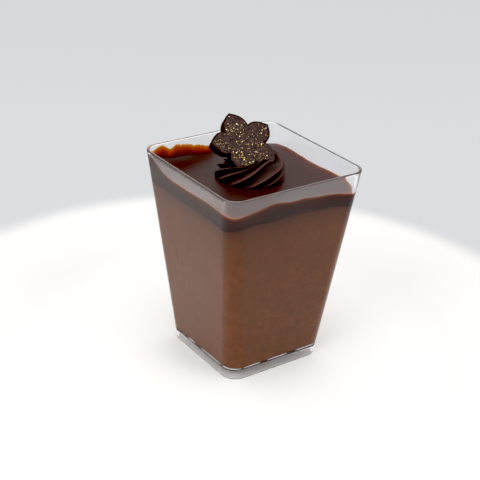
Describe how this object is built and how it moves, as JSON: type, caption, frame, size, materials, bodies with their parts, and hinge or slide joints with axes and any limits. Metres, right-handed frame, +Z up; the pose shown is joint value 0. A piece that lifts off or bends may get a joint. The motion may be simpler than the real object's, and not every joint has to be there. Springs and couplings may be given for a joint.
{
  "type": "chocolate mousse cup",
  "caption": "Chocolate mousse under a chocolate glaze in a square tapered clear cup, topped with a piped swirl and a gold-flecked chocolate flower.",
  "frame": {"origin": "centre of the cup's foot, on the surface that it stands on", "axes": "+Z up along the cup's axis; the four walls face -Y (front), +X (right), +Y (back, with the smear of glaze) and -X (left)"},
  "size_m": [0.061, 0.061, 0.0931],
  "materials": {
    "clear_plastic": "clear and glossy",
    "mousse": "matt chocolate mousse with fine bubbles",
    "glaze": "glossy dark chocolate glaze, orange brown where it is thin",
    "swirl": "satin dark chocolate cream",
    "dark_chocolate": "satin dark chocolate",
    "gold_flakes": "small bright flakes of edible gold"
  },
  "bodies": {
    "root": {"cup": "clear_plastic", "mousse": "mousse", "glaze": "glaze", "swirl": "swirl", "flower": "dark_chocolate"}
  },
  "joints": []
}
